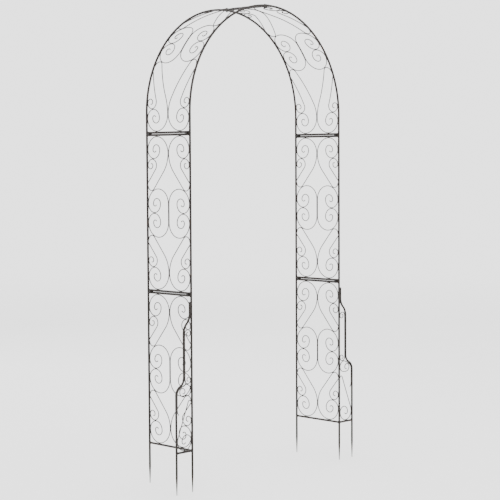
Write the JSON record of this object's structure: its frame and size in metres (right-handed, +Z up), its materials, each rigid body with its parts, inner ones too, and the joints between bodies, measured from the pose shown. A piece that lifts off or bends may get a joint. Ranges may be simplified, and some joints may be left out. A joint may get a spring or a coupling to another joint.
{
  "type": "garden trellis arch",
  "caption": "Steel garden arch: scrollwork side towers joined by a round trellis top, with narrow front wings and ground spikes.",
  "frame": {"origin": "on the ground, midway between the four legs, level with the spike tips", "axes": "+Z up, +X to the right along the span of the arch, +Y to the back; the wings are at the front, -Y"},
  "size_m": [1.214, 0.3, 2.2366],
  "materials": {
    "frame_tube": "dark bronze powder coat, satin",
    "scroll_wire": "dark bronze powder coat, satin",
    "fixings": "black zinc plate, satin",
    "bare_steel": "bare drawn steel, hidden in the rails"
  },
  "bodies": {
    "root": {"joint_nuts": "fixings", "joint_screws": "fixings", "joint_washers": "fixings", "left_arch_back_rail": "frame_tube", "left_arch_c_scrolls": "scroll_wire", "left_arch_crossbars": "frame_tube", "left_arch_front_rail": "frame_tube", "left_arch_lugs": "frame_tube", "left_arch_lyre_scrolls": "scroll_wire", "left_arch_small_scrolls": "scroll_wire", "left_lower_back_rail": "frame_tube", "left_lower_c_scrolls": "scroll_wire", "left_lower_crossbars": "frame_tube", "left_lower_front_rail": "frame_tube", "left_lower_lugs": "frame_tube", "left_lower_lyre_scrolls": "scroll_wire", "left_lower_small_scrolls": "scroll_wire", "left_upper_back_rail": "frame_tube", "left_upper_c_scrolls": "scroll_wire", "left_upper_crossbars": "frame_tube", "left_upper_front_rail": "frame_tube", "left_upper_lugs": "frame_tube", "left_upper_lyre_scrolls": "scroll_wire", "left_upper_small_scrolls": "scroll_wire", "left_wing_bar": "frame_tube", "left_wing_crook_scroll": "scroll_wire", "left_wing_lyre_scroll": "scroll_wire", "left_wing_neck_scroll": "scroll_wire", "left_wing_rail": "frame_tube", "leg_spigots": "bare_steel", "right_arch_back_rail": "frame_tube", "right_arch_c_scrolls": "scroll_wire", "right_arch_crossbars": "frame_tube", "right_arch_front_rail": "frame_tube", "right_arch_lugs": "frame_tube", "right_arch_lyre_scrolls": "scroll_wire", "right_arch_small_scrolls": "scroll_wire", "right_lower_back_rail": "frame_tube", "right_lower_c_scrolls": "scroll_wire", "right_lower_crossbars": "frame_tube", "right_lower_front_rail": "frame_tube", "right_lower_lugs": "frame_tube", "right_lower_lyre_scrolls": "scroll_wire", "right_lower_small_scrolls": "scroll_wire", "right_upper_back_rail": "frame_tube", "right_upper_c_scrolls": "scroll_wire", "right_upper_crossbars": "frame_tube", "right_upper_front_rail": "frame_tube", "right_upper_lugs": "frame_tube", "right_upper_lyre_scrolls": "scroll_wire", "right_upper_small_scrolls": "scroll_wire", "right_wing_bar": "frame_tube", "right_wing_crook_scroll": "scroll_wire", "right_wing_lyre_scroll": "scroll_wire", "right_wing_neck_scroll": "scroll_wire", "right_wing_rail": "frame_tube"}
  },
  "joints": []
}
